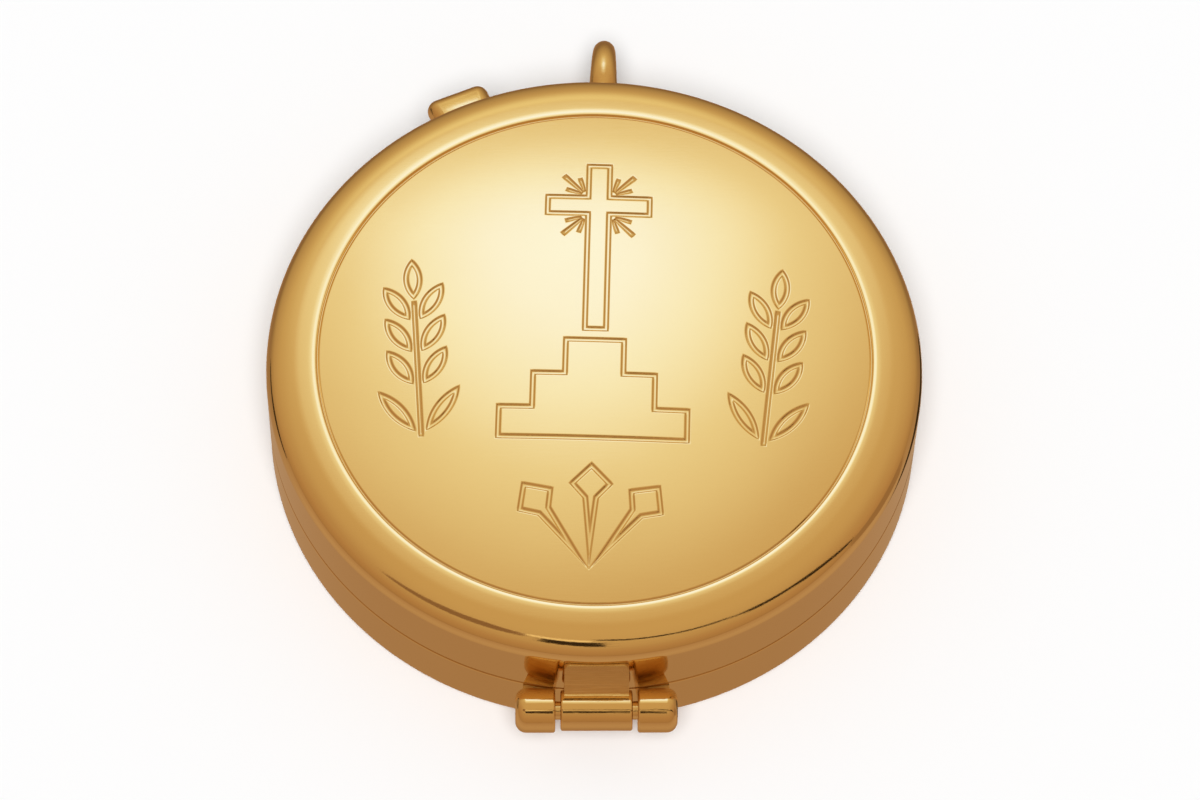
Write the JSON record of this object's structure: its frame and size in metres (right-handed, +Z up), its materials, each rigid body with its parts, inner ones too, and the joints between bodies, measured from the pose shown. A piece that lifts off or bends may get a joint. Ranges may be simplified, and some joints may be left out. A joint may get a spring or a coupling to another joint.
{
  "type": "pyx",
  "caption": "Round hinged pyx of polished gold-plated brass with a domed engraved lid, a side clasp and a fixed eye for a cord, for carrying consecrated hosts.",
  "frame": {"origin": "middle of the base's flat underside, on the table", "axes": "+Z up through the lid's crown, -Y towards the hinge, +X along the hinge pin"},
  "size_m": [0.054, 0.0658, 0.0145],
  "materials": {
    "polished_gold": "mirror polished gold plate on brass",
    "inner_gold": "satin gold plate on brass",
    "cast_gold": "gold plate on cast brass, fine scratches",
    "pin_gold": "drawn wire, gold plated"
  },
  "bodies": {
    "base": {"base_shell": "polished_gold", "base_collar": "inner_gold", "hinge_knuckle_left": "cast_gold", "hinge_knuckle_right": "cast_gold", "hinge_pin": "pin_gold", "suspension_eye": "cast_gold", "clasp_bracket": "cast_gold", "clasp_pin": "pin_gold"},
    "lid": {"lid_shell": "polished_gold", "lid_hinge_leaf": "cast_gold", "lid_catch": "cast_gold"},
    "clasp": {"clasp_tongue": "cast_gold"}
  },
  "joints": [
    {"name": "lid_hinge", "type": "hinge", "parent": "base", "child": "lid", "pos_m": [0, -0.029, 0.0067], "axis": [1, 0, 0], "range_deg": [0, 175]},
    {"name": "clasp_swing", "type": "hinge", "parent": "base", "child": "clasp", "pos_m": [-0.01125, 0.02624, 0.0029], "axis": [-0.9191, -0.3939, 0], "range_deg": [0, 90]}
  ]
}
